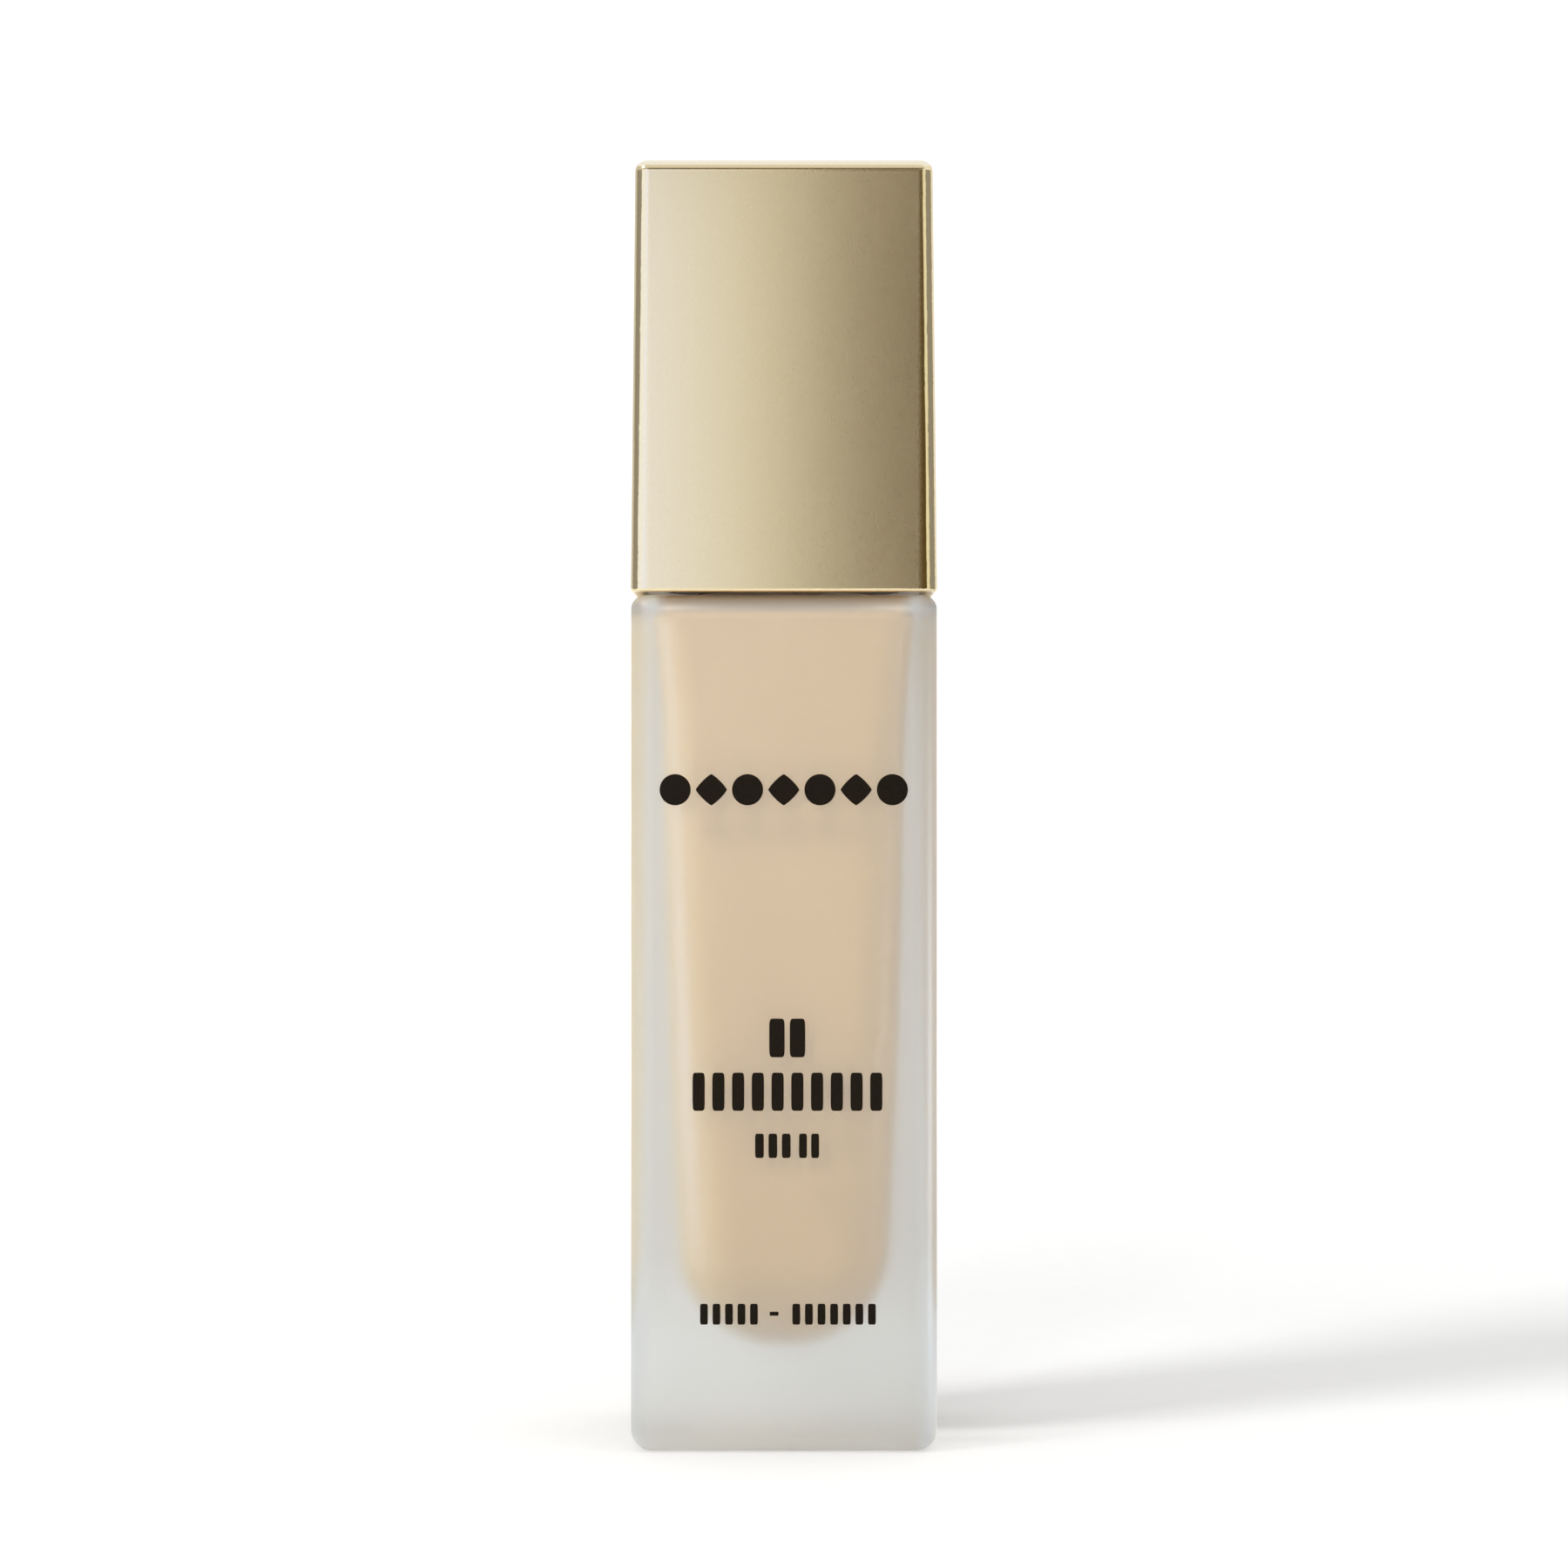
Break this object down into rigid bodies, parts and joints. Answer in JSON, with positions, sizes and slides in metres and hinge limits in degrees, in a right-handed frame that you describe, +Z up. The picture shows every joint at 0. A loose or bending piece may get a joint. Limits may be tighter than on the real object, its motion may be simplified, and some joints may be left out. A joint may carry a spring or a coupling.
{
  "type": "foundation pump bottle",
  "caption": "Tall square heavy-walled frosted glass bottle of beige liquid, with a screw-on push pump under a drafted square champagne-gold overcap.",
  "frame": {"origin": "centre of the base, on the resting plane", "axes": "+Z up along the bottle's axis, -Y towards the printed front face, +X to the viewer's right"},
  "size_m": [0.031, 0.031, 0.1306],
  "materials": {
    "frosted_glass": "acid-etched satin outside, clear inside",
    "foundation_cream": "smooth opaque beige liquid",
    "champagne_gold_plastic": "satin vacuum-metallised champagne gold",
    "gold_anodised_aluminium": "bright anodised",
    "white_polypropylene": "satin moulded",
    "natural_polyethylene": "waxy, slightly milky",
    "spring_steel": "drawn wire and polished ball"
  },
  "bodies": {
    "bottle": {"glass_bottle": "frosted_glass", "foundation_liquid": "foundation_cream"},
    "pump": {"neck_gasket": "natural_polyethylene", "pump_housing": "white_polypropylene", "dip_tube": "natural_polyethylene", "chaplet": "white_polypropylene", "return_spring": "spring_steel"},
    "closure": {"screw_closure": "white_polypropylene", "collar_shell": "gold_anodised_aluminium"},
    "plunger": {"pump_stem": "white_polypropylene", "stem_valve": "white_polypropylene"},
    "piston": {"pump_piston": "natural_polyethylene"},
    "head": {"actuator_core": "white_polypropylene", "actuator_shell": "champagne_gold_plastic", "spout": "white_polypropylene"},
    "ball": {"inlet_ball": "spring_steel"},
    "overcap": {"overcap_shell": "champagne_gold_plastic", "overcap_liner": "white_polypropylene"}
  },
  "joints": [
    {"name": "pump_lift", "type": "slide", "parent": "bottle", "child": "pump", "axis": [0, 0, 1], "range_m": [0, 0.00556]},
    {"name": "closure_turn", "type": "hinge", "parent": "pump", "child": "closure", "pos_m": [0, 0, 0.096], "axis": [0, 0, 1], "range_deg": [0, 630]},
    {"name": "pump_stroke", "type": "slide", "parent": "pump", "child": "plunger", "axis": [0, 0, -1], "range_m": [0, 0.0045], "stiffness_N_per_m": 800, "springref_m": -0.004, "deforming": ["return_spring"]},
    {"name": "piston_slide", "type": "slide", "parent": "pump", "child": "piston", "axis": [0, 0, -1], "range_m": [0, 0.0033]},
    {"name": "nozzle_turn", "type": "hinge", "parent": "plunger", "child": "head", "pos_m": [0, 0, 0.1145], "axis": [0, 0, 1], "continuous": true},
    {"name": "ball_lift", "type": "slide", "parent": "pump", "child": "ball", "axis": [0, 0, 1], "range_m": [0, 0.0008]},
    {"name": "overcap_lift", "type": "slide", "parent": "pump", "child": "overcap", "axis": [0, 0, 1], "range_m": [0, 0.04]}
  ],
  "couplings": [
    {"joint": "pump_lift", "follows": "closure_turn", "m_per_rad": 0.00050532},
    {"joint": "piston_slide", "follows": "pump_stroke", "ratio": 0.7333}
  ]
}
